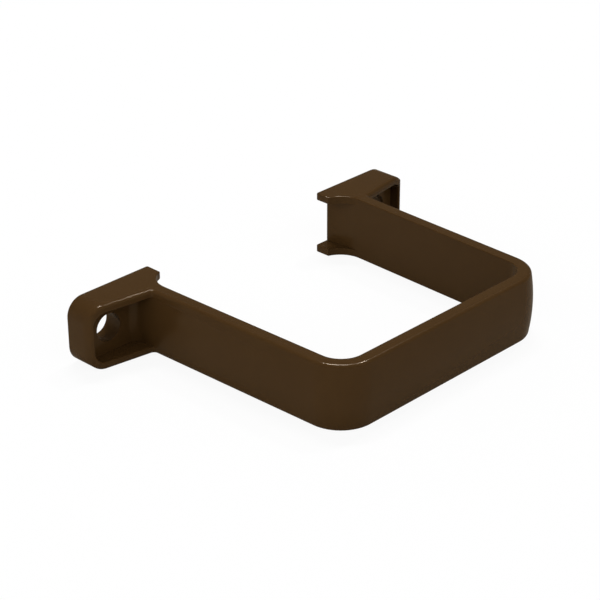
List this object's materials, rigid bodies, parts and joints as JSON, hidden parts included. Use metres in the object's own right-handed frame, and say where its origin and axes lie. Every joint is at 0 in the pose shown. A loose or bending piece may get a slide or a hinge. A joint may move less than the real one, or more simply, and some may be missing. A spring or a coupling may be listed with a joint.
{
  "type": "downpipe clip",
  "caption": "Moulded brown plastic clip: a square U-shaped band round a square downpipe, with ears for screwing it to a wall.",
  "frame": {"origin": "midway between the two screw holes, on the plane of the wall", "axes": "+Y into the wall, +Z along the downpipe, X along the wall"},
  "size_m": [0.1108, 0.0719, 0.017],
  "materials": {
    "brown_plastic": "smooth moulded gloss, dark brown"
  },
  "bodies": {
    "root": {"downpipe_clip": "brown_plastic"}
  },
  "joints": []
}
